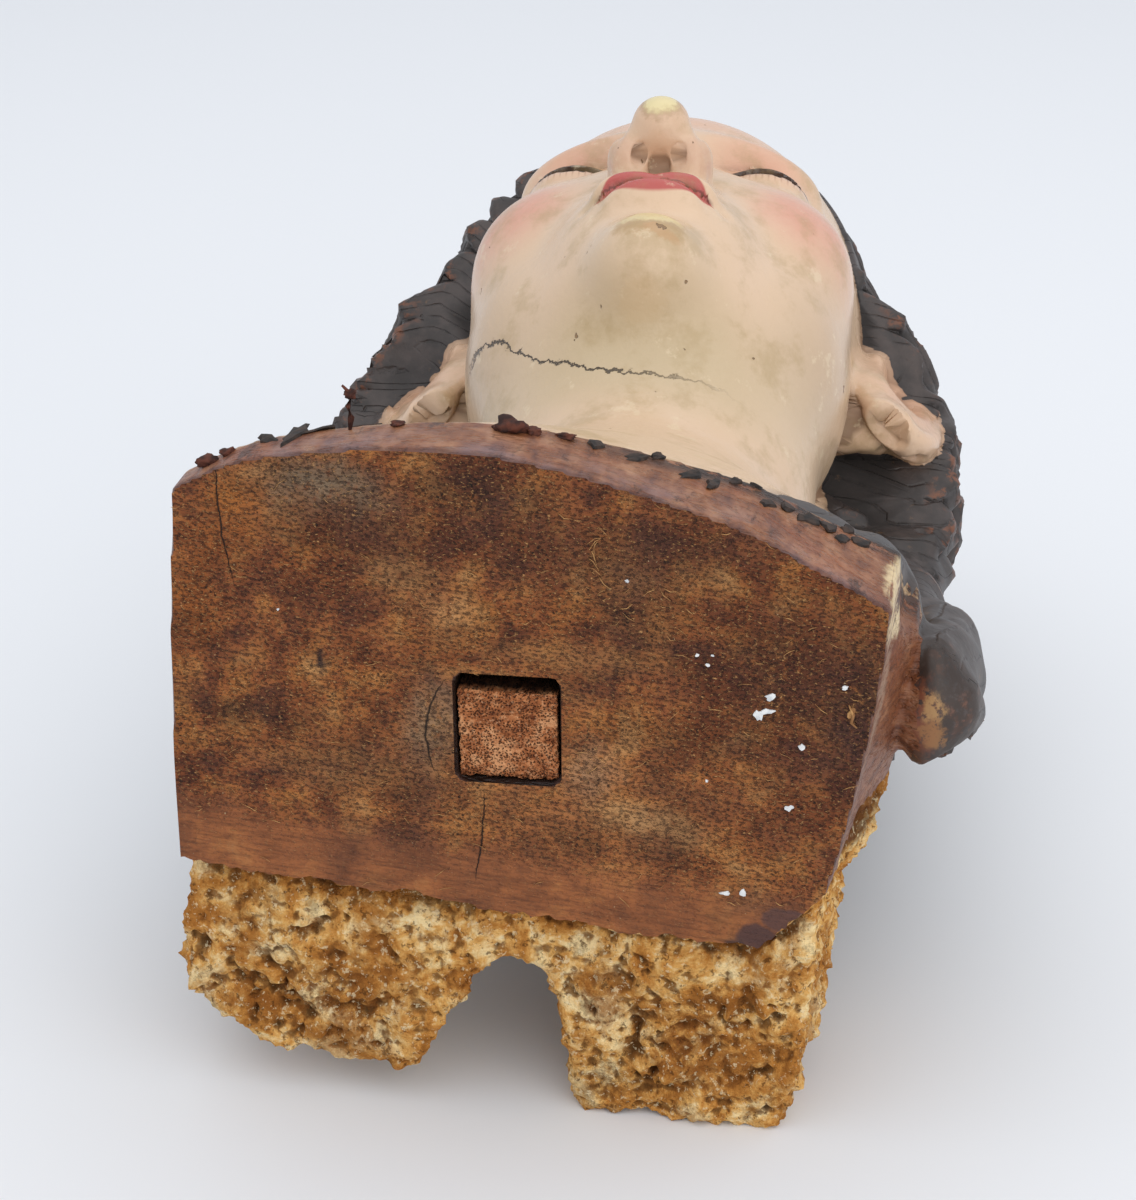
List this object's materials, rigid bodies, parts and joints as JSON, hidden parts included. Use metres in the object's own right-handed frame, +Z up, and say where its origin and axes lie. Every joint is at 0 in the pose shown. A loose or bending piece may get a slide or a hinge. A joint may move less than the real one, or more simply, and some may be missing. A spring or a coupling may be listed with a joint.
{
  "type": "carved wooden bust",
  "caption": "Old carved and painted wooden bust lying on its back, with wavy hair, glass eyes, a sawn underside with a square peg stub, and a rotted back.",
  "frame": {"origin": "on the floor, under the middle of the bust's bounding box as it lies on its back", "axes": "+Y from the sawn underside to the crown of the head, +Z up from the floor to the face, +X to the right of someone who looks at the underside with the face up"},
  "size_m": [0.183, 0.2972, 0.1894],
  "materials": {
    "painted_wood": "aged paint over gesso, bare and rotted wood at the base",
    "peg_wood": "raw broken end grain",
    "eye_glass": "polished"
  },
  "bodies": {
    "root": {"bust": "painted_wood", "peg": "peg_wood", "glass_eye_left": "eye_glass", "glass_eye_right": "eye_glass"}
  },
  "joints": []
}
